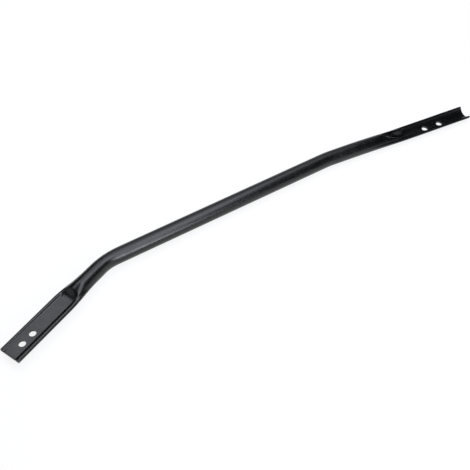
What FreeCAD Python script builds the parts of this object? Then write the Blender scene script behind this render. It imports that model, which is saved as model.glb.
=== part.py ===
import FreeCAD, Part
import math
import os

# Lower handle rail of a walk-behind mower, one side.
# A round steel tube is bent twice in one plane and pressed shut at both ends. The deck end is a flat with
# a bead along each edge, and the upper end is a half-round saddle in which the upper handle's tube nests.
#
# Frame, in millimetres: the origin is the middle of the two deck bolt holes, on the underside of the flat.
# +X runs along the upper leg to its open end, and +Z points out of the pressed side.

# Tube
TUBE_DIAMETER = 22.0
WALL = 1.5
SEAM_GAP = 0.3  # left between the two walls where the tube is pressed shut

# Bends and the round straight runs between the shaped stretches, from the deck end up
DECK_STRAIGHT = 2.0
DECK_BEND_ANGLE = 23.4
DECK_BEND_RADIUS = 104.0
MIDDLE_STRAIGHT = 326.5
UPPER_BEND_ANGLE = 6.3
UPPER_BEND_RADIUS = 228.0
UPPER_STRAIGHT = 29.5

# Flat at the deck end
FLAT_LENGTH = 92.0
FLAT_WIDTH = 32.2
BEAD_RISE = 2.1  # height of a bead above the web between the two
BEAD_FILLET = 4.5  # inside corner between a bead and the web
FLAT_RUNOUT = 62.5  # length in which the flat's sides become round
POCKET_FOOT = 9.0  # from the end of the flat to the foot of the pocket's rounded end wall
POCKET_WALL = 15.0  # run of that end wall
POCKET_ROUNDING = 4.0  # how far its foot comes forward along the beads
POCKET_CROWN = 38.0  # from the end of the flat to where the tube's top has its full height
POCKET_EASING = 0.0  # rounds the pocket's rims off as it closes

# Saddle at the upper end, with its trough described in the same way as the pocket
NESTED_DIAMETER = 22.0
NESTED_PLAY = 0.7  # by which the saddle is wider than the tube that nests in it
SADDLE_LENGTH = 106.0
SADDLE_RUNOUT = 100.0
TROUGH_FOOT = 4.0
TROUGH_WALL = 50.0
TROUGH_ROUNDING = 0.0
TROUGH_CROWN = 32.0
TROUGH_EASING = 2.5

# Bolt holes
HOLE_DIAMETER = 9.5
DECK_HOLE_FROM_END = 21.5
DECK_HOLE_SPACING = 18.0
UPPER_HOLE_FROM_END = 47.0
UPPER_HOLE_SPACING = 26.5

# Shape and fineness of the run-outs
RIM_EASED_BY = 0.2  # share of the crown's rise by which a hollow's rims are rounded off
RUNOUT_STATIONS = 24
STATION_CROWDING = 1.5  # above 1, the stations stand closer near the pressed end, where more changes
EDGE_POINTS = 9

# Derived sizes
TUBE_RADIUS = TUBE_DIAMETER / 2
PRESSED_THICKNESS = 2 * WALL + SEAM_GAP
AXIS_HEIGHT = PRESSED_THICKNESS / 2
SHARES = [step / (EDGE_POINTS - 1) for step in range(EDGE_POINTS)]

# The hollows between the rims. Closed folds leave no room for a rounding inside them.
POCKET = {
    "foot": POCKET_FOOT,
    "wall": POCKET_WALL,
    "rounding": POCKET_ROUNDING,
    "crown": POCKET_CROWN,
    "easing": POCKET_EASING,
    "closed_folds": False,
}
TROUGH = {
    "foot": TROUGH_FOOT,
    "wall": TROUGH_WALL,
    "rounding": TROUGH_ROUNDING,
    "crown": TROUGH_CROWN,
    "easing": TROUGH_EASING,
    "closed_folds": True,
}


def point(y, z):
    return FreeCAD.Vector(0, y, z)


def line(start, end):
    return Part.LineSegment(point(*start), point(*end)).toShape()


def arc(centre, radius, first_angle, last_angle):
    """An arc in the section plane, with its angles in degrees from +Y towards +Z."""
    angles = [math.radians(a) for a in (first_angle, (first_angle + last_angle) / 2, last_angle)]
    on_arc = [point(centre[0] + radius * math.cos(a), centre[1] + radius * math.sin(a)) for a in angles]
    return Part.Arc(*on_arc).toShape()


def flat_section(inset):
    """The flat's outline, or the slit and bead cavities inside it when inset by the wall.

    The edges run once round from the middle of the underside: up to the rim on the +Y side, over the
    hollow to the other rim, and down again.
    """
    bead_radius = (PRESSED_THICKNESS + BEAD_RISE) / 2
    bead = (FLAT_WIDTH / 2 - bead_radius, bead_radius - PRESSED_THICKNESS / 2)
    reach = bead_radius + BEAD_FILLET
    lean = math.acos((PRESSED_THICKNESS + BEAD_FILLET - bead_radius) / reach)
    fillet = (bead[0] - reach * math.sin(lean), PRESSED_THICKNESS / 2 + BEAD_FILLET)
    lean = math.degrees(lean)
    underside = inset - PRESSED_THICKNESS / 2
    web = PRESSED_THICKNESS / 2 - inset
    convex = bead_radius - inset
    concave = BEAD_FILLET + inset
    left_bead = (-bead[0], bead[1])
    left_fillet = (-fillet[0], fillet[1])
    up = [
        line((0, underside), (bead[0], underside)),
        arc(bead, convex, -90, 0),
        arc(bead, convex, 0, 90),
    ]
    over = [
        arc(bead, convex, 90, 90 + lean),
        arc(fillet, concave, 270 + lean, 270),
        line((fillet[0], web), (left_fillet[0], web)),
        arc(left_fillet, concave, 270, 270 - lean),
        arc(left_bead, convex, 90 - lean, 90),
    ]
    down = [
        arc(left_bead, convex, 90, 180),
        arc(left_bead, convex, 180, 270),
        line((left_bead[0], underside), (0, underside)),
    ]
    return up, over, down


def saddle_section(inset):
    """The saddle's outline, or the curved slit inside it when inset by the wall.

    The upper half of the tube is folded into the lower half. The mid-wall line keeps the tube's length,
    and that sets how far the saddle wraps round. Its underside is level with the tube's. The edges come
    in the same order as the flat's.
    """
    inner_radius = (NESTED_DIAMETER + NESTED_PLAY) / 2
    outer_radius = inner_radius + PRESSED_THICKNESS
    mid_radius = inner_radius + PRESSED_THICKNESS / 2
    fold_radius = PRESSED_THICKNESS / 2
    centre = (0, outer_radius - TUBE_RADIUS)
    tube_length = math.pi * (TUBE_DIAMETER - WALL)
    folds_length = 2 * math.pi * (fold_radius - WALL / 2)
    wrap = (tube_length - folds_length) / (4 * mid_radius)
    right_fold = (mid_radius * math.sin(wrap), centre[1] - mid_radius * math.cos(wrap))
    left_fold = (-right_fold[0], right_fold[1])
    wrap = math.degrees(wrap)
    fold = fold_radius - inset
    up = [
        arc(centre, outer_radius - inset, -90, -90 + wrap),
        arc(right_fold, fold, -90 + wrap, 90),
    ]
    over = [
        arc(right_fold, fold, 90, 90 + wrap),
        arc(centre, inner_radius + inset, -90 + wrap, -90),
        arc(centre, inner_radius + inset, -90, -90 - wrap),
        arc(left_fold, fold, 90 - wrap, 90),
    ]
    down = [
        arc(left_fold, fold, 90, 270 - wrap),
        arc(centre, outer_radius - inset, -90 - wrap, -90),
    ]
    return up, over, down


def round_section(section, radius):
    """A circle divided like the section, so that each stretch of wall keeps its share of the length."""
    total = sum(edge.Length for edge in section)
    angle = -90.0
    edges = []
    for edge in section:
        next_angle = angle + 360 * edge.Length / total
        edges.append(arc((0, 0), radius, angle, next_angle))
        angle = next_angle
    return edges


def ramp(x, start, end):
    """Rises from 0 at start to 1 at end, level at both."""
    share = min(max((x - start) / (end - start), 0.0), 1.0)
    return share * share * (3 - 2 * share)


def points_along(edge):
    first = edge.FirstParameter
    last = edge.LastParameter
    return [edge.valueAt(first + (last - first) * share) for share in SHARES]


def blended_points(section, tube, hollow, distance, side):
    """Rows of points, one for each edge, on the outside of the section at a distance into the run-out.

    Outside the rims, the pressed section turns into the circle by the share side. Between the rims lies
    the hollow, sunk from a roof that rises from the rims to the tube's full height. The hollow keeps its
    floor level up to the foot of its end wall and has closed at the wall's end.
    """
    up, over, down = section
    rim = max(edge.BoundBox.ZMax for edge in over)
    floor = min(edge.BoundBox.ZMin for edge in over)
    half_width = max(edge.BoundBox.YMax for edge in over)
    tube_rim = tube[len(up)].firstVertex(True).Z
    shoulder = rim * (1 - side) + tube_rim * side
    crown = ramp(distance, 0.0, hollow["crown"])
    easing = 1 + hollow["easing"] * ramp(crown, 0.0, RIM_EASED_BY)
    rows = []
    for number, (pressed_edge, tube_edge) in enumerate(zip(up + over + down, tube)):
        sunk = len(up) <= number < len(up + over)
        row = []
        for start, target in zip(points_along(pressed_edge), points_along(tube_edge)):
            y = start.y * (1 - side) + target.y * side
            z = start.z * (1 - side) + target.z * side
            if sunk:
                roof = shoulder + (target.z - tube_rim) * crown
                foot = hollow["foot"] - hollow["rounding"] * (start.y / half_width) ** 2
                open_share = 1 - ramp(distance, foot, foot + hollow["wall"])
                depth_share = open_share * ((rim - start.z) / (rim - floor)) ** easing
                z = roof - depth_share * (roof - floor)
            row.append(point(y, z))
        rows.append(row)
    return rows


def directions_along(rows):
    """The direction of travel at each point of a closed run of rows."""
    loop = [vertex for row in rows for vertex in row[:-1]]
    tangents = []
    for number, vertex in enumerate(loop):
        ahead = loop[(number + 1) % len(loop)] - vertex
        behind = vertex - loop[number - 1]
        tangent = ahead * (behind.Length / ahead.Length) + behind * (ahead.Length / behind.Length)
        tangents.append(tangent.normalize())
    steps = EDGE_POINTS - 1
    return [[tangents[(number * steps + step) % len(loop)] for step in range(EDGE_POINTS)]
            for number in range(len(rows))]


def end_speed(end, second, third):
    """How fast a row of points sets off from its end, in millimetres for the whole row."""
    return (second * 4 - end * 3 - third).Length / (2 * SHARES[1])


def spline(points, directions):
    curve = Part.BSplineCurve()
    curve.interpolate(
        Points=points,
        Parameters=SHARES,
        InitialTangent=directions[0] * end_speed(*points[:3]),
        FinalTangent=directions[-1] * end_speed(*points[:-4:-1]),
        Scale=False,
    )
    return curve.toShape()


def station(rows, folds, inset, x):
    """The closed wire through rows of points, or the outline inside the wall when inset by it.

    The folds are given by the first of their two edges, and the inset outline is cut straight across them.
    """
    directions = directions_along(rows)
    points = []
    for row, row_directions in zip(rows, directions):
        points.append([vertex + point(-d.z, d.y) * inset for vertex, d in zip(row, row_directions)])
    if inset > 0:
        for fold in folds:
            start = points[fold][0]
            across = points[fold + 1][-1] - start
            for half in range(2):
                points[fold + half] = [start + across * ((half + share) / 2) for share in SHARES]
                directions[fold + half] = [across / across.Length] * EDGE_POINTS
    return moved([spline(*edge) for edge in zip(points, directions)], x)


def moved(edges, x):
    wire = Part.Wire(edges)
    wire.translate(FreeCAD.Vector(x, 0, 0))
    return wire


def pressed_leg(section_at, hollow, inset, overrun, length, runout, straight):
    """A leg along +X from its cut end at x = 0: the pressed end, the run-out and the round straight run."""
    section = section_at(0.0)
    up, over, down = section
    folds = []
    if hollow["closed_folds"]:
        folds = [len(up) - 1, len(up + over) - 1]
    pressed_inset = sum(section_at(inset), [])
    tube = round_section(up + over + down, TUBE_RADIUS)
    tube_inset = round_section(up + over + down, TUBE_RADIUS - inset)
    stations = [moved(pressed_inset, length)]
    for number in range(1, RUNOUT_STATIONS):
        distance = runout * (number / RUNOUT_STATIONS) ** STATION_CROWDING
        side = ramp(distance, 0.0, runout)
        rows = blended_points(section, tube, hollow, distance, side)
        stations.append(station(rows, folds, inset, length + distance))
    stations.append(moved(tube_inset, length + runout))
    cut_end = moved(pressed_inset, -overrun)
    tube_end = moved(tube_inset, length + runout + straight)
    faces = cut_end.extrude(FreeCAD.Vector(length + overrun, 0, 0)).Faces
    faces += Part.makeLoft(stations, False, False).Faces
    faces += stations[-1].extrude(FreeCAD.Vector(straight, 0, 0)).Faces
    faces += [Part.Face(cut_end), Part.Face(tube_end)]
    skin = Part.Compound(faces)
    skin.sewShape()
    return Part.Solid(skin)


def deck_leg(inset, overrun):
    leg = pressed_leg(flat_section, POCKET, inset, overrun, FLAT_LENGTH, FLAT_RUNOUT, DECK_STRAIGHT)
    leg.Placement = FreeCAD.Placement(DECK_END, FreeCAD.Rotation(UP, DECK_HEADING))
    return leg


def upper_leg(inset, overrun):
    leg = pressed_leg(saddle_section, TROUGH, inset, overrun, SADDLE_LENGTH, SADDLE_RUNOUT, UPPER_STRAIGHT)
    leg.Placement = FreeCAD.Placement(UPPER_END, FreeCAD.Rotation(UP, UPPER_HEADING + 180))
    return leg


def heading(degrees):
    return FreeCAD.Vector(math.cos(math.radians(degrees)), math.sin(math.radians(degrees)), 0)


def bend_centre(start, start_heading, bend_radius):
    """The rail turns right at both bends, seen from above."""
    return start + heading(start_heading - 90) * bend_radius


# Stations of the centre line
UP = FreeCAD.Vector(0, 0, 1)
DECK_HEADING = DECK_BEND_ANGLE + UPPER_BEND_ANGLE
MIDDLE_HEADING = UPPER_BEND_ANGLE
UPPER_HEADING = 0.0
DECK_END = UP * AXIS_HEIGHT - heading(DECK_HEADING) * (DECK_HOLE_FROM_END + DECK_HOLE_SPACING / 2)
DECK_BEND_START = DECK_END + heading(DECK_HEADING) * (FLAT_LENGTH + FLAT_RUNOUT + DECK_STRAIGHT)
DECK_BEND_CENTRE = bend_centre(DECK_BEND_START, DECK_HEADING, DECK_BEND_RADIUS)
DECK_BEND_END = DECK_BEND_CENTRE + heading(MIDDLE_HEADING + 90) * DECK_BEND_RADIUS
UPPER_BEND_START = DECK_BEND_END + heading(MIDDLE_HEADING) * MIDDLE_STRAIGHT
UPPER_BEND_CENTRE = bend_centre(UPPER_BEND_START, MIDDLE_HEADING, UPPER_BEND_RADIUS)
UPPER_BEND_END = UPPER_BEND_CENTRE + heading(UPPER_HEADING + 90) * UPPER_BEND_RADIUS
UPPER_END = UPPER_BEND_END + heading(UPPER_HEADING) * (UPPER_STRAIGHT + SADDLE_RUNOUT + SADDLE_LENGTH)


def bend(start, start_heading, centre, angle, radius):
    disc = Part.Face(Part.Wire(Part.makeCircle(radius, start, heading(start_heading))))
    return disc.revolve(centre, UP * -1, angle)


def rail(inset, overrun):
    """The whole rail as a filled body: its outside, or the space inside its wall when inset by the wall."""
    radius = TUBE_RADIUS - inset
    middle = Part.makeCylinder(radius, MIDDLE_STRAIGHT, DECK_BEND_END, heading(MIDDLE_HEADING))
    others = [
        deck_leg(inset, overrun),
        bend(DECK_BEND_START, DECK_HEADING, DECK_BEND_CENTRE, DECK_BEND_ANGLE, radius),
        bend(UPPER_BEND_START, MIDDLE_HEADING, UPPER_BEND_CENTRE, UPPER_BEND_ANGLE, radius),
        upper_leg(inset, overrun),
    ]
    return middle.fuse(others)


def bolt_hole(end, inward, distance):
    """A hole straight down through both walls, at a distance from the cut end."""
    depth = 2 * TUBE_DIAMETER
    base = end + inward * distance - UP * (depth / 2)
    return Part.makeCylinder(HOLE_DIAMETER / 2, depth, base)


def handle_tube():
    holes = []
    for index in range(2):
        deck_distance = DECK_HOLE_FROM_END + index * DECK_HOLE_SPACING
        upper_distance = UPPER_HOLE_FROM_END + index * UPPER_HOLE_SPACING
        holes.append(bolt_hole(DECK_END, heading(DECK_HEADING), deck_distance))
        holes.append(bolt_hole(UPPER_END, heading(UPPER_HEADING + 180), upper_distance))
    outside = rail(0.0, 0.0)
    inside = rail(WALL, WALL)
    return outside.cut(inside).cut(holes).removeSplitter()


os.makedirs("parts", exist_ok=True)
shape = handle_tube()
shape.exportStep("parts/handle_tube.step")
print("solids", len(shape.Solids), "valid", shape.isValid(), "faces", len(shape.Faces))
print("volume mm3", round(shape.Volume, 1), "box mm", shape.BoundBox)
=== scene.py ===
# %% [markdown]
# # A mower's handle rail, from a straight tube to a painted part
# The object is the lower handle rail of a walk-behind mower, one side of it: a single black steel tube.
# On the real part a straight tube is pressed at both ends, punched, bent twice and painted. This lesson
# goes the same way: a straight blank in mesh code, then a Geometry Nodes tree that punches and bends it.

# %% Load the frame
import math

import bpy
import numpy as np
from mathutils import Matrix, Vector


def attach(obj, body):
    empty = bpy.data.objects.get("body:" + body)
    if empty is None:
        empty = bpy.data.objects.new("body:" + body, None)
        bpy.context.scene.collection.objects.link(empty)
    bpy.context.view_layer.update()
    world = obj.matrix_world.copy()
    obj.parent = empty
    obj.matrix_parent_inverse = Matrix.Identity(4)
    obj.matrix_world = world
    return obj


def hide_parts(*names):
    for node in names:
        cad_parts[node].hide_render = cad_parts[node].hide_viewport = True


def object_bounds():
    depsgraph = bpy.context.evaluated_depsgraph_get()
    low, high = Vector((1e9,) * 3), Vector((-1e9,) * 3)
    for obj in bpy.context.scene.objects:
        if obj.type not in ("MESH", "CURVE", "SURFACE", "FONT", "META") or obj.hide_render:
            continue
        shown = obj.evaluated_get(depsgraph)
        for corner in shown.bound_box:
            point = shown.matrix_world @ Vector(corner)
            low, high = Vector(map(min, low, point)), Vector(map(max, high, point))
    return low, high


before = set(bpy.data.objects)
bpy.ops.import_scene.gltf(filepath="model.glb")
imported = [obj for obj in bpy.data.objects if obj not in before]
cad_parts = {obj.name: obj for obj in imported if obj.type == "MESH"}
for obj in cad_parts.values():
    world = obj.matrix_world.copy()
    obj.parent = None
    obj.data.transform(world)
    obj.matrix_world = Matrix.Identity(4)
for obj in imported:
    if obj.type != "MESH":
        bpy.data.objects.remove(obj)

cad_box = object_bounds()
scene = bpy.context.scene
scene.view_settings.view_transform = "Standard"
print("CAD box, m:", [[round(value, 4) for value in corner] for corner in cad_box])

# %% [markdown]
# ## The sizes
# Every size is in metres and is the solid model's own. The tube is measured along its axis from the cut
# deck end, as it lay before it was bent. The sizes could be read off the solid's mesh, but a rule with named
# sizes gives smoother pressings than a copy of its faces.

# %% Sizes of the blank
MM = 0.001
TUBE_RADIUS = 11.0 * MM
WALL = 1.5 * MM
SEAM_GAP = 0.3 * MM
PRESSED_THICKNESS = 2 * WALL + SEAM_GAP

FLAT_LENGTH = 92.0 * MM
FLAT_WIDTH = 32.2 * MM
BEAD_RISE = 2.1 * MM
BEAD_FILLET = 4.5 * MM
FLAT_RUNOUT = 62.5 * MM

NESTED_RADIUS = 11.35 * MM
SADDLE_LENGTH = 106.0 * MM
SADDLE_RUNOUT = 100.0 * MM

DECK_STRAIGHT = 2.0 * MM
DECK_BEND_ANGLE = math.radians(23.4)
DECK_BEND_RADIUS = 104.0 * MM
MIDDLE_STRAIGHT = 326.5 * MM
UPPER_BEND_ANGLE = math.radians(6.3)
UPPER_BEND_RADIUS = 228.0 * MM
UPPER_STRAIGHT = 29.5 * MM

deck_bend_start = FLAT_LENGTH + FLAT_RUNOUT + DECK_STRAIGHT
upper_bend_start = deck_bend_start + DECK_BEND_RADIUS * DECK_BEND_ANGLE + MIDDLE_STRAIGHT
blank_length = (upper_bend_start + UPPER_BEND_RADIUS * UPPER_BEND_ANGLE + UPPER_STRAIGHT
                + SADDLE_RUNOUT + SADDLE_LENGTH)
print("straight blank, mm:", round(blank_length / MM, 1))

# %% [markdown]
# ## The pressed sections
# The deck end is a flat with a bead along each edge. The upper end is a half-round saddle, the tube's upper
# half folded into its lower half. A sculpted or subdivided cage could give either, but a pressed end keeps
# the tube's wall, only folded. So each section is a run of lines and arcs, and each point of the wall is
# found by its share of the way round, counted from the middle of the underside.

# %% Lines and arcs, read by share of the wall
AROUND = 208
EDGE_POINTS = 61
SAME_POINT = 1e-9
shares = np.arange(AROUND) / AROUND


def line(start, end):
    return np.linspace(start, end, EDGE_POINTS)


def arc(centre, radius, first_angle, last_angle):
    angles = np.radians(np.linspace(first_angle, last_angle, EDGE_POINTS))
    return np.stack([centre[0] + radius * np.cos(angles), centre[1] + radius * np.sin(angles)], 1)


def closed_outline(half):
    """Mirrors a run that starts and ends in the middle, and drops the points that come twice."""
    run = np.concatenate(half + [edge[::-1] * (-1, 1) for edge in half[::-1]])
    steps = np.linalg.norm(np.diff(run, axis=0), axis=1)
    return run[np.concatenate([[True], steps > SAME_POINT])]


def by_share(outline):
    steps = np.linalg.norm(np.diff(outline, axis=0), axis=1)
    way = np.concatenate([[0], np.cumsum(steps)]) / steps.sum()
    return np.stack([np.interp(shares, way, outline[:, axis]) for axis in (0, 1)], 1)


turns = 2 * math.pi * shares - math.pi / 2
circle = TUBE_RADIUS * np.stack([np.cos(turns), np.sin(turns)], 1)
print("points round the tube:", len(circle))

# %% The flat and the saddle
def flat_outline():
    bead_radius = (PRESSED_THICKNESS + BEAD_RISE) / 2
    bead = (FLAT_WIDTH / 2 - bead_radius, bead_radius - PRESSED_THICKNESS / 2)
    reach = bead_radius + BEAD_FILLET
    lean = math.acos((PRESSED_THICKNESS + BEAD_FILLET - bead_radius) / reach)
    fillet = (bead[0] - reach * math.sin(lean), PRESSED_THICKNESS / 2 + BEAD_FILLET)
    lean = math.degrees(lean)
    underside = -PRESSED_THICKNESS / 2
    return closed_outline([
        line((0, underside), (bead[0], underside)),
        arc(bead, bead_radius, -90, 90 + lean),
        arc(fillet, BEAD_FILLET, 270 + lean, 270),
        line((fillet[0], -underside), (0, -underside)),
    ])


def saddle_outline():
    """The wall keeps its length round, so the tube sets how far the saddle wraps the nested tube."""
    outer_radius = NESTED_RADIUS + PRESSED_THICKNESS
    mid_radius = NESTED_RADIUS + PRESSED_THICKNESS / 2
    fold_radius = PRESSED_THICKNESS / 2
    centre = (0, outer_radius - TUBE_RADIUS)
    tube_length = math.pi * (2 * TUBE_RADIUS - WALL)
    folds_length = 2 * math.pi * (fold_radius - WALL / 2)
    wrap = (tube_length - folds_length) / (4 * mid_radius)
    fold = (mid_radius * math.sin(wrap), centre[1] - mid_radius * math.cos(wrap))
    wrap = math.degrees(wrap)
    return closed_outline([
        arc(centre, outer_radius, -90, -90 + wrap),
        arc(fold, fold_radius, -90 + wrap, 90 + wrap),
        arc(centre, NESTED_RADIUS, -90 + wrap, -90),
    ])


flat = by_share(flat_outline())
saddle = by_share(saddle_outline())
print("flat, mm:", np.round(np.ptp(flat, axis=0) / MM, 2))
print("saddle, mm:", np.round(np.ptp(saddle, axis=0) / MM, 2))

# %% [markdown]
# ## The run-outs
# Between a pressed end and the round tube the wall changes gradually. The sides swing from the pressed
# section to the circle. The wall between the two rims is a hollow, sunk below a roof that rises from the
# rims to the tube's top, and the hollow closes in an end wall. A plain straight blend would bulge up in
# the middle instead, and the scoop that the press leaves would be lost.

# %% Sections along a run-out
POCKET = {"foot": 9.0 * MM, "wall": 15.0 * MM, "rounding": 4.0 * MM, "crown": 38.0 * MM, "easing": 0.0}
TROUGH = {"foot": 4.0 * MM, "wall": 50.0 * MM, "rounding": 0.0, "crown": 32.0 * MM, "easing": 2.5}
EASED_BY_CROWN = 0.2


def ramp(x, start, end):
    share = np.clip((x - start) / (end - start), 0.0, 1.0)
    return share * share * (3 - 2 * share)


def runout_section(pressed, hollow, distance, side_end):
    side = ramp(distance, 0.0, side_end)
    section = pressed * (1 - side) + circle * side
    right = np.argmax(np.where(pressed[:, 0] > 0, pressed[:, 1], -1))
    sunk = (shares >= shares[right]) & (shares <= 1 - shares[right])
    rim = pressed[right, 1]
    floor = pressed[sunk, 1].min()
    half_width = pressed[sunk, 0].max()
    shoulder = section[right, 1]
    crown = ramp(distance, 0.0, hollow["crown"])
    roof = shoulder + (circle[:, 1] - circle[right, 1]) * crown
    foot = hollow["foot"] - hollow["rounding"] * (pressed[:, 0] / half_width) ** 2
    open_share = 1 - ramp(distance, foot, foot + hollow["wall"])
    easing = 1 + hollow["easing"] * ramp(crown, 0.0, EASED_BY_CROWN)
    depth = open_share * np.clip((rim - pressed[:, 1]) / (rim - floor), 0, 1) ** easing
    section[sunk, 1] = (roof - depth * (roof - floor))[sunk]
    return section


half_way = runout_section(flat, POCKET, FLAT_RUNOUT / 2, FLAT_RUNOUT)
print("half way along the scoop, mm high:", round(np.ptp(half_way[:, 1]) / MM, 2))

# %% [markdown]
# ## The cut ends
# Where the real tube is cut, one sees the two walls, the slit that the press leaves between them, and an
# edge that the paint rounds. A solid wall and a bevel could give that, but the blank needs no inner face
# further in than one can see. So its skin starts deep in the slit, comes out over the cut face and turns
# over the edge: rings set in by the wall's thickness give the slit, and rings set in a little the edge.

# %% Rings of a cut end
EDGE_BREAK = 0.3 * MM
EDGE_TURNS = np.radians([0, 30, 60, 90])
FLAT_SLIT = 80.0 * MM
SADDLE_SLIT = 94.0 * MM
SLIT_RINGS = 9


def inset_ring(ring, inset):
    ahead = np.roll(ring, -1, axis=0) - np.roll(ring, 1, axis=0)
    ahead /= np.linalg.norm(ahead, axis=1)[:, None]
    return ring + inset * np.stack([-ahead[:, 1], ahead[:, 0]], 1)


def cut_end(ring, slit_depth):
    """Rings by depth from the cut: up the slit, over the cut face and round its edge."""
    slit = inset_ring(ring, WALL)
    end = [(depth, slit) for depth in np.linspace(slit_depth, 0.0, SLIT_RINGS)]
    for turn in EDGE_TURNS:
        edge = inset_ring(ring, EDGE_BREAK * (1 - math.sin(turn)))
        end.append((EDGE_BREAK * (1 - math.cos(turn)), edge))
    return end


deck_cut = cut_end(flat, FLAT_SLIT)
upper_cut = cut_end(saddle, SADDLE_SLIT)
print("rings of the cut ends:", len(deck_cut), "and", len(upper_cut))

# %% [markdown]
# ## The straight blank
# The blank is one skin of rings along X, from slit to slit. The rings lie close where the wall changes and
# wider where it stays the same. Curves with a bevel can't change their section like this, so the rings are
# joined in mesh code.

# %% Rings from slit to slit
EVEN_SPACING = 3.0 * MM
RUNOUT_SPACING = 1.0 * MM


def stations(start, end, spacing):
    return np.linspace(start, end, max(2, round((end - start) / spacing) + 1))[1:]


saddle_start = blank_length - SADDLE_LENGTH
round_start = FLAT_LENGTH + FLAT_RUNOUT
round_end = saddle_start - SADDLE_RUNOUT
rings = list(deck_cut)
rings += [(x, flat) for x in stations(EDGE_BREAK, FLAT_LENGTH, EVEN_SPACING)]
for distance in stations(0.0, FLAT_RUNOUT, RUNOUT_SPACING):
    rings.append((FLAT_LENGTH + distance, runout_section(flat, POCKET, distance, FLAT_RUNOUT)))
rings += [(x, circle) for x in stations(round_start, round_end, EVEN_SPACING)]
for distance in stations(0.0, SADDLE_RUNOUT, RUNOUT_SPACING):
    section = runout_section(saddle, TROUGH, SADDLE_RUNOUT - distance, SADDLE_RUNOUT)
    rings.append((round_end + distance, section))
rings += [(x, saddle) for x in stations(saddle_start, blank_length - EDGE_BREAK, EVEN_SPACING)[:-1]]
rings += [(blank_length - depth, ring) for depth, ring in upper_cut[::-1]]
print("rings:", len(rings))

# %% The blank's mesh
vertices = [(x, y, z) for x, ring in rings for y, z in ring]
faces = [tuple(range(AROUND))[::-1]]
for row in range(len(rings) - 1):
    here, there = row * AROUND, (row + 1) * AROUND
    for number in range(AROUND):
        following = (number + 1) % AROUND
        faces.append((here + number, here + following, there + following, there + number))
faces.append(tuple(range(len(vertices) - AROUND, len(vertices))))
blank = bpy.data.meshes.new("handle_tube_blank")
blank.from_pydata(vertices, [], faces)
blank.update()
print("blank:", len(blank.vertices), "vertices,", len(blank.polygons), "faces")

# %% [markdown]
# ## The paint
# Black paint on steel is almost black itself. What one sees is the gloss over it, which is never quite even.
# A plain black gloss would look like plastic, so the colour stays near zero and the work goes into the
# surface: a faint orange peel from spraying, patches where the gloss is a little duller, and fine specks of
# dust in the film. All of it is noise on Object coordinates, so it stays put on the part.

# %% The paint's noises
paint = bpy.data.materials.new("black_paint")
paint.use_nodes = True
nodes = paint.node_tree.nodes
links = paint.node_tree.links
shader = nodes["Principled BSDF"]
place = nodes.new("ShaderNodeTexCoord")


def noise(scale, detail):
    texture = nodes.new("ShaderNodeTexNoise")
    texture.inputs["Scale"].default_value = scale
    texture.inputs["Detail"].default_value = detail
    links.new(place.outputs["Object"], texture.inputs["Vector"])
    return texture.outputs["Fac"]


def remap(value, between, onto):
    span = nodes.new("ShaderNodeMapRange")
    for socket, number in zip(("From Min", "From Max", "To Min", "To Max"), between + onto):
        span.inputs[socket].default_value = number
    links.new(value, span.inputs["Value"])
    return span.outputs["Result"]


clouds = remap(noise(scale=35.0, detail=3.0), between=(0.35, 0.65), onto=(0.0, 1.0))
dust = remap(noise(scale=800.0, detail=0.0), between=(0.70, 0.76), onto=(0.0, 1.0))
dullness = remap(noise(scale=90.0, detail=4.0), between=(0.3, 0.7), onto=(0.23, 0.29))
print("noises of the paint:", sum(node.type == "TEX_NOISE" for node in nodes))

# %% Black paint
DEEP_BLACK = (0.0022, 0.0023, 0.0025, 1)
SOFT_BLACK = (0.0033, 0.0034, 0.0037, 1)
DUST_GREY = (0.022, 0.022, 0.023, 1)

shade = nodes.new("ShaderNodeMix")
shade.data_type = "RGBA"
shade.inputs["A"].default_value = DEEP_BLACK
shade.inputs["B"].default_value = SOFT_BLACK
links.new(clouds, shade.inputs["Factor"])
specks = nodes.new("ShaderNodeMix")
specks.data_type = "RGBA"
specks.inputs["B"].default_value = DUST_GREY
links.new(shade.outputs["Result"], specks.inputs["A"])
links.new(dust, specks.inputs["Factor"])
links.new(specks.outputs["Result"], shader.inputs["Base Color"])
links.new(dullness, shader.inputs["Roughness"])
peel = nodes.new("ShaderNodeBump")
peel.inputs["Strength"].default_value = 0.16
peel.inputs["Distance"].default_value = 0.06 * MM
links.new(noise(scale=850.0, detail=1.0), peel.inputs["Height"])
links.new(peel.outputs["Normal"], shader.inputs["Normal"])
shader.inputs["IOR"].default_value = 1.5
print("paint nodes:", len(nodes))

# %% [markdown]
# ## The bends
# On the real part a bender rolls the tube round a former, and the inside of a tight bend is pressed a little
# flat. A curve modifier could bend the blank, but it needs a curve beside it. A bend by rule leaves what
# lies before it, rolls what lies in it onto an arc and swings what lies behind it. The rail has two, so the
# rule is a node group.

# %% Nodes in one call
def add(tree, kind, *feeds, **settings):
    """Adds a node, sets its properties, and feeds its inputs in order with sockets or plain values."""
    node = tree.nodes.new(kind)
    for name, value in settings.items():
        setattr(node, name, value)
    for socket, feed in zip(node.inputs, feeds):
        if isinstance(feed, bpy.types.NodeSocket):
            tree.links.new(feed, socket)
        elif feed is not None:
            socket.default_value = feed
    return node.outputs[0]


def calculate(tree, operation, *feeds):
    return add(tree, "ShaderNodeMath", *feeds, operation=operation)


bend = bpy.data.node_groups.new("bend_to_the_right", "GeometryNodeTree")
bend.interface.new_socket("Position", in_out="INPUT", socket_type="NodeSocketVector")
for name in ("Start", "Angle", "Radius", "Flattening"):
    bend.interface.new_socket(name, in_out="INPUT", socket_type="NodeSocketFloat")
bend.interface.new_socket("Position", in_out="OUTPUT", socket_type="NodeSocketVector")
print("bend group sockets:", len(bend.interface.items_tree))

# %% The bend's rule
def bend_sum(operation, *feeds):
    return calculate(bend, operation, *feeds)


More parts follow.
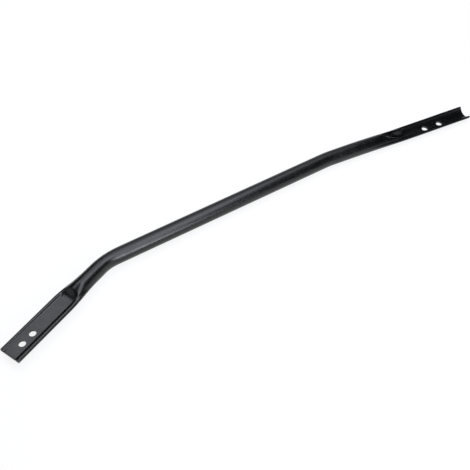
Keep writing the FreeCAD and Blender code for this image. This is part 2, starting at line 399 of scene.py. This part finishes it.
given = bend.nodes.new("NodeGroupInput").outputs
parts = bend.nodes.new("ShaderNodeSeparateXYZ")
bend.links.new(given["Position"], parts.inputs[0])
past = bend_sum("SUBTRACT", parts.outputs["X"], given["Start"])
rolled = bend_sum("MAXIMUM", bend_sum("DIVIDE", past, given["Radius"]), 0.0)
turn = bend_sum("MINIMUM", rolled, given["Angle"])
straight = bend_sum("SUBTRACT", past, bend_sum("MULTIPLY", turn, given["Radius"]))

inside = bend_sum("DIVIDE", bend_sum("MINIMUM", parts.outputs["Y"], 0.0), TUBE_RADIUS)
arch = bend_sum("SINE", bend_sum("MULTIPLY", bend_sum("DIVIDE", turn, given["Angle"]), math.pi))
pressed_in = bend_sum("POWER", bend_sum("MULTIPLY", inside, arch), 2.0)
flattened = bend_sum("ADD", parts.outputs["Y"], bend_sum("MULTIPLY", pressed_in, given["Flattening"]))

arm = bend_sum("ADD", flattened, given["Radius"])
sine = bend_sum("SINE", turn)
cosine = bend_sum("COSINE", turn)
along = bend_sum("ADD", bend_sum("MULTIPLY", straight, cosine), bend_sum("MULTIPLY", arm, sine))
across = bend_sum("SUBTRACT", bend_sum("MULTIPLY", arm, cosine), bend_sum("MULTIPLY", straight, sine))
bent = add(bend, "ShaderNodeCombineXYZ", bend_sum("ADD", along, given["Start"]),
           bend_sum("SUBTRACT", across, given["Radius"]), parts.outputs["Z"])
bend.links.new(bent, bend.nodes.new("NodeGroupOutput").inputs[0])
print("bend group nodes:", len(bend.nodes))

# %% [markdown]
# ## Punching and forming
# The real holes are punched before the bends, in pairs. Holes could be cut one by one, but they repeat, so
# each pair of punches is an instance on a short line of points, and one boolean takes them out of the blank.
# The same tree then bends the tube, the far bend first, and sets it down with its deck holes at the origin.

# %% Sizes for the forming tree
HOLE_RADIUS = 4.75 * MM
DECK_HOLE_FROM_END = 21.5 * MM
DECK_HOLE_SPACING = 18.0 * MM
UPPER_HOLE_FROM_END = 47.0 * MM
UPPER_HOLE_SPACING = 26.5 * MM
DECK_BEND_FLATTENING = 1.5 * MM
UPPER_BEND_FLATTENING = 0.3 * MM
deck_heading = DECK_BEND_ANGLE + UPPER_BEND_ANGLE
sizes = {
    "Hole radius": HOLE_RADIUS,
    "First deck hole": DECK_HOLE_FROM_END,
    "Deck hole spacing": DECK_HOLE_SPACING,
    "First upper hole": blank_length - UPPER_HOLE_FROM_END,
    "Upper hole spacing": UPPER_HOLE_SPACING,
    "Deck bend start": deck_bend_start,
    "Deck bend angle": DECK_BEND_ANGLE,
    "Deck bend radius": DECK_BEND_RADIUS,
    "Deck bend flattening": DECK_BEND_FLATTENING,
    "Upper bend start": upper_bend_start,
    "Upper bend angle": UPPER_BEND_ANGLE,
    "Upper bend radius": UPPER_BEND_RADIUS,
    "Upper bend flattening": UPPER_BEND_FLATTENING,
    "Deck heading": deck_heading,
}
forming = bpy.data.node_groups.new("punch_and_bend", "GeometryNodeTree")
forming.interface.new_socket("Blank", in_out="INPUT", socket_type="NodeSocketGeometry")
identifiers = {}
for name in sizes:
    socket = forming.interface.new_socket(name, in_out="INPUT", socket_type="NodeSocketFloat")
    identifiers[name] = socket.identifier
forming.interface.new_socket("Rail", in_out="OUTPUT", socket_type="NodeSocketGeometry")
given = forming.nodes.new("NodeGroupInput").outputs
print("forming tree inputs:", len(given) - 1)

# %% Punch the holes
PUNCH_SIDES = 72
PUNCH_HEIGHT = 60 * MM


def punches(first, spacing, towards):
    start = add(forming, "ShaderNodeCombineXYZ", first)
    step = add(forming, "ShaderNodeCombineXYZ", calculate(forming, "MULTIPLY", spacing, towards))
    points = add(forming, "GeometryNodeMeshLine", 2, None, start, step, mode="OFFSET")
    punch = add(forming, "GeometryNodeMeshCylinder", PUNCH_SIDES, 1, 1, given["Hole radius"], PUNCH_HEIGHT)
    return add(forming, "GeometryNodeInstanceOnPoints", points, None, punch)


both = add(forming, "GeometryNodeJoinGeometry")
for pair in (punches(given["First deck hole"], given["Deck hole spacing"], 1.0),
             punches(given["First upper hole"], given["Upper hole spacing"], -1.0)):
    forming.links.new(pair, both.node.inputs[0])
punched = add(forming, "GeometryNodeMeshBoolean", given["Blank"],
              add(forming, "GeometryNodeRealizeInstances", both), operation="DIFFERENCE", solver="EXACT")
print("holes in pairs:", len(both.node.inputs[0].links))

# %% Bend, set down and paint
deck_hole_middle = DECK_HOLE_FROM_END + DECK_HOLE_SPACING / 2
deck_end = (-deck_hole_middle * math.cos(deck_heading), -deck_hole_middle * math.sin(deck_heading),
            PRESSED_THICKNESS / 2)


def bend_step(position, which):
    group = forming.nodes.new("GeometryNodeGroup")
    group.node_tree = bend
    feeds = [given[f"{which} bend {word}"] for word in ("start", "angle", "radius", "flattening")]
    for socket, feed in zip(group.inputs, [position] + feeds):
        forming.links.new(feed, socket)
    return group.outputs[0]


position = bend_step(bend_step(add(forming, "GeometryNodeInputPosition"), "Upper"), "Deck")
turned = forming.nodes.new("ShaderNodeVectorRotate")
turned.rotation_type = "Z_AXIS"
forming.links.new(position, turned.inputs["Vector"])
forming.links.new(given["Deck heading"], turned.inputs["Angle"])
placed = add(forming, "ShaderNodeVectorMath", turned.outputs[0], deck_end, operation="ADD")
formed = add(forming, "GeometryNodeSetPosition", punched, None, placed)
realized = add(forming, "GeometryNodeRealizeInstances", formed)
painted = add(forming, "GeometryNodeSetMaterial", realized, None, paint)
forming.links.new(painted, forming.nodes.new("NodeGroupOutput").inputs[0])
print("forming tree nodes:", len(forming.nodes))

# %% [markdown]
# ## The finished rail
# The rail is one piece on the real mower, so it is one mesh here. The tree could stay live on it, but the
# export wants a plain mesh, so the tree is run once and its result kept. Faces are shaded smooth, and only
# the rims of the holes and the inner corners of the cut ends stay sharp.

# %% Form the rail
SHARP_ANGLE = math.radians(35)

shaping = bpy.data.objects.new("shaping", blank)
scene.collection.objects.link(shaping)
modifier = shaping.modifiers.new("forming", "NODES")
modifier.node_group = forming
for name, size in sizes.items():
    modifier[identifiers[name]] = size
evaluated = shaping.evaluated_get(bpy.context.evaluated_depsgraph_get())
formed_mesh = bpy.data.meshes.new_from_object(evaluated)
shaping.modifiers.remove(modifier)
bpy.data.objects.remove(shaping)
formed_mesh.name = "painted_rail"
formed_mesh.shade_smooth()
formed_mesh.set_sharp_from_angle(angle=SHARP_ANGLE)
rail = bpy.data.objects.new("painted_rail", formed_mesh)
scene.collection.objects.link(rail)
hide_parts("handle_tube")
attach(rail, "root")
formed_mesh.calc_loop_triangles()
print("rail:", len(formed_mesh.vertices), "vertices,", len(formed_mesh.loop_triangles), "triangles")

# %% [markdown]
# ## The ground
# The photo's ground is plain white. More light would make a floor white, but it would also wash out the
# paint. So the floor is a wide round sheet, turned up a little at its far rim as a studio's backdrop is. It
# keeps the rail's soft shadow, and to the camera, and to what the paint mirrors, it also glows, so that it
# comes out white under a plain light.

# %% White floor
SHEET_RADIUS = 30.0
RIM_HEIGHT = 1.5
SHEET_SIDES = 64
SHEET_GREY = (0.2, 0.2, 0.2, 1)
SHEET_GLOW = 0.85

floor_height = cad_box[0][2]
rim_angles = np.linspace(0.0, 2 * math.pi, SHEET_SIDES, endpoint=False)
sheet_points = [(SHEET_RADIUS * math.cos(angle), SHEET_RADIUS * math.sin(angle), height)
                for height in (floor_height, RIM_HEIGHT) for angle in rim_angles]
sheet_faces = [tuple(range(SHEET_SIDES))]
for number in range(SHEET_SIDES):
    following = (number + 1) % SHEET_SIDES
    sheet_faces.append((number, number + SHEET_SIDES, following + SHEET_SIDES, following))
floor_mesh = bpy.data.meshes.new("floor")
floor_mesh.from_pydata(sheet_points, [], sheet_faces)
floor = bpy.data.objects.new("floor", floor_mesh)
scene.collection.objects.link(floor)
white = bpy.data.materials.new("white_ground")
white.use_nodes = True
floor_mesh.materials.append(white)
tree = white.node_tree
tree.nodes.clear()
sheet = tree.nodes.new("ShaderNodeBsdfDiffuse")
sheet.inputs["Color"].default_value = SHEET_GREY
glow = tree.nodes.new("ShaderNodeEmission")
rays = tree.nodes.new("ShaderNodeLightPath").outputs
mirrored = calculate(tree, "MAXIMUM", rays["Is Glossy Ray"], rays["Is Transmission Ray"])
seen = calculate(tree, "MAXIMUM", rays["Is Camera Ray"], mirrored)
tree.links.new(calculate(tree, "MULTIPLY", seen, SHEET_GLOW), glow.inputs["Strength"])
ground = tree.nodes.new("ShaderNodeAddShader")
tree.links.new(sheet.outputs[0], ground.inputs[0])
tree.links.new(glow.outputs[0], ground.inputs[1])
tree.links.new(ground.outputs[0], tree.nodes.new("ShaderNodeOutputMaterial").inputs["Surface"])
print("floor at, mm:", round(floor_height / MM, 2))

# %% [markdown]
# ## The light
# On black gloss the light is what one sees. One big soft box would grey the whole rail, so a few plain ones
# stand where the photo's reflections ask for them. A strip overhead and a strip in front give the two bands
# along the near half of the tube. A sheet overhead at the back, brighter over the flat, gives the sheen on
# the flat and on the tube's top. Dim walls at the back, at the left and in the right corner lift the edges.
# Above the far end it stays dark, so the far half is black.

# %% Soft boxes
LIGHT_COLOUR = (0.89, 0.91, 1.0)


def soft_box(name, centre, facing, size, radiance):
    lamp = bpy.data.lights.new(name, "AREA")
    lamp.shape = "RECTANGLE"
    lamp.color = LIGHT_COLOUR
    lamp.size, lamp.size_y = size
    lamp.energy = radiance * math.pi * lamp.size * lamp.size_y
    box = bpy.data.objects.new(name, lamp)
    box.location = centre
    box.rotation_euler = Vector(facing).to_track_quat("-Z", "Y").to_euler()
    scene.collection.objects.link(box)
    print(name, "power, W:", round(lamp.energy, 1))


DOWN, TO_THE_BACK, TO_THE_FRONT, TO_THE_RIGHT = (0, 0, -1), (0, 1, 0), (0, -1, 0), (1, 0, 0)
soft_box("overhead_strip", centre=(0.575, -0.51, 1.25), facing=DOWN, size=(0.55, 1.79), radiance=3.95)
soft_box("overhead_sheet", centre=(0.275, 0.71, 1.25), facing=DOWN, size=(1.75, 0.77), radiance=2.0)
soft_box("over_the_flat", centre=(-0.025, 1.03, 1.24), facing=DOWN, size=(0.41, 0.385), radiance=1.5)
soft_box("front_strip", centre=(0.69, -1.4, 0.755), facing=TO_THE_BACK, size=(0.38, 0.99), radiance=9.3)
soft_box("back_wall", centre=(0.99, 1.9, 1.23), facing=TO_THE_FRONT, size=(1.8, 1.75), radiance=0.62)
soft_box("right_corner", centre=(2.15, -1.2, 0.4), facing=(-2.05, 1.25, -0.3), size=(0.9, 0.7),
         radiance=0.85)
soft_box("left_wall", centre=(-1.2, 0.3, 0.94), facing=TO_THE_RIGHT, size=(2.6, 0.61), radiance=0.77)

# %% A dark studio round it
STUDIO_GREY = (0.004, 0.004, 0.004, 1)

world = bpy.data.worlds.new("dark_studio")
scene.world = world
world.use_nodes = True
world.node_tree.nodes["Background"].inputs["Color"].default_value = STUDIO_GREY
print("world:", world.name)

# %% [markdown]
# ## The camera
# The photo was taken from in front of the near end and above, looking down at the middle of the rail. A
# camera could be turned by hand until it looks right. This one comes from fitting the bent tube's outline to
# the photo's, so place, angles and lens belong together.

# %% Camera at the photo's view
AZIMUTH = math.radians(-25.33)
ELEVATION = math.radians(50.72)
STANDPOINT = (0.01172, -0.57207, 0.82983)
FOCAL_PIXELS = 784.1
FRAME_PIXELS = 470

lens = bpy.data.cameras.new("camera")
lens.sensor_width = 36.0
lens.lens = FOCAL_PIXELS * lens.sensor_width / FRAME_PIXELS
camera = bpy.data.objects.new("camera", lens)
camera.location = STANDPOINT
camera.rotation_euler = (math.pi / 2 - ELEVATION, 0.0, AZIMUTH)
scene.collection.objects.link(camera)
scene.camera = camera
print("focal length, mm:", round(lens.lens, 2))
